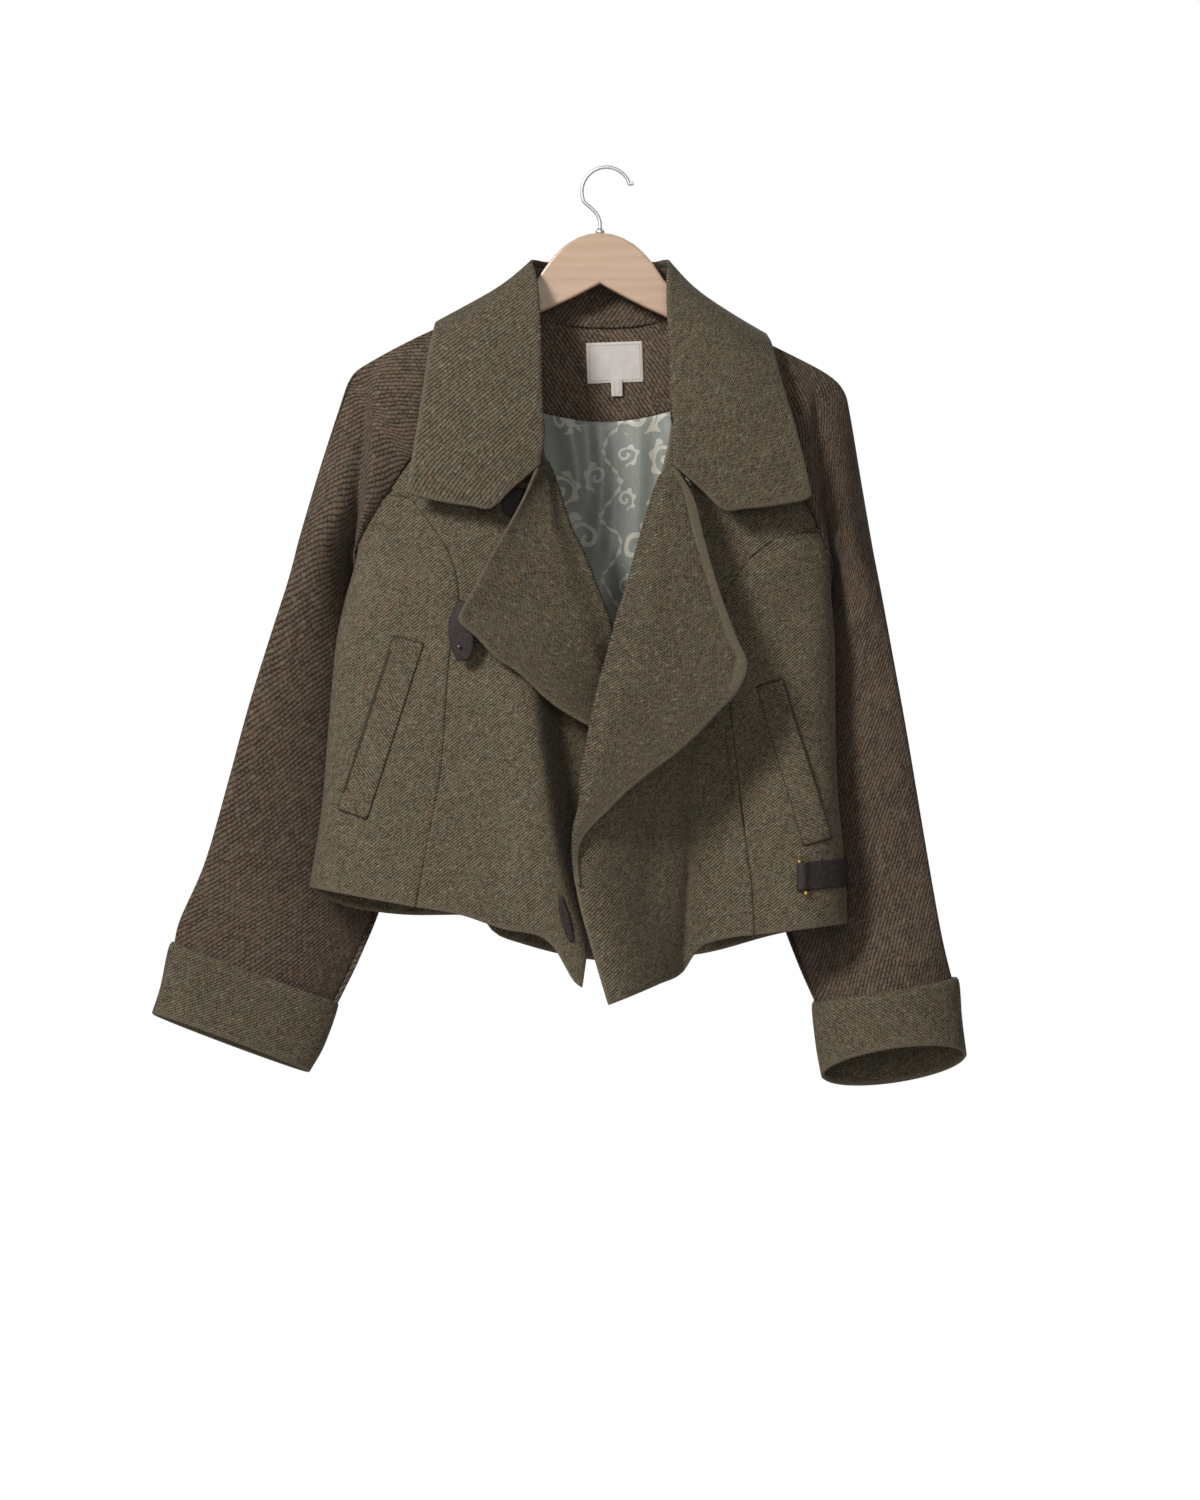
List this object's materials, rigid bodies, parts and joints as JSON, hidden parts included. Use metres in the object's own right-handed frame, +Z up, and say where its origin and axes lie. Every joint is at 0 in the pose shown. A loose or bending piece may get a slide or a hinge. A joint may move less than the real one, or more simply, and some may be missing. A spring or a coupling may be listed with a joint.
{
  "type": "cropped tweed jacket on hanger",
  "caption": "Short tweed jacket with a wide notched collar, raglan sleeves, banded cuffs and slanted pockets, hanging open on a wooden hanger with a wire hook.",
  "frame": {"origin": "underside of the hook's arch, where a rail carries the hanger", "axes": "+Z up; the front faces -Y; +X to the right as seen from the front"},
  "size_m": [0.7759, 0.1899, 0.8762],
  "materials": {
    "tweed_olive": "fine olive wool twill with a short nap",
    "tweed_brown": "coarse reddish brown wool twill",
    "lining_satin": "grey green satin with a woven scroll",
    "label_satin": "cream satin ribbon",
    "leather_dark": "dark brown leather, lightly worn",
    "hanger_beech": "clear varnished beech",
    "hook_wire": "bright plated steel wire",
    "brass_fittings": "aged brass"
  },
  "bodies": {
    "root": {"front_side_left": "tweed_olive", "front_side_right": "tweed_olive", "front_centre_left": "tweed_olive", "front_centre_right": "tweed_olive", "lapel_left": "tweed_olive", "lapel_right": "tweed_olive", "back": "tweed_olive", "neck_facing": "tweed_brown", "lining_back": "lining_satin", "label": "label_satin", "size_tab": "label_satin", "collar_stand": "tweed_brown", "collar_fall": "tweed_olive", "sleeve_front_left": "tweed_brown", "sleeve_back_left": "tweed_brown", "sleeve_front_right": "tweed_brown", "sleeve_back_right": "tweed_brown", "cuff_left": "tweed_olive", "cuff_right": "tweed_olive", "welt_left": "tweed_olive", "welt_right": "tweed_olive", "strap_loop_left": "leather_dark", "notch_tab_left": "leather_dark", "edge_tab_left": "leather_dark", "side_tab_right": "leather_dark", "stud_left": "brass_fittings", "snap_right": "hook_wire", "side_bar_right": "brass_fittings", "hanger_wood": "hanger_beech", "ferrule": "hook_wire", "hook": "hook_wire"}
  },
  "joints": []
}
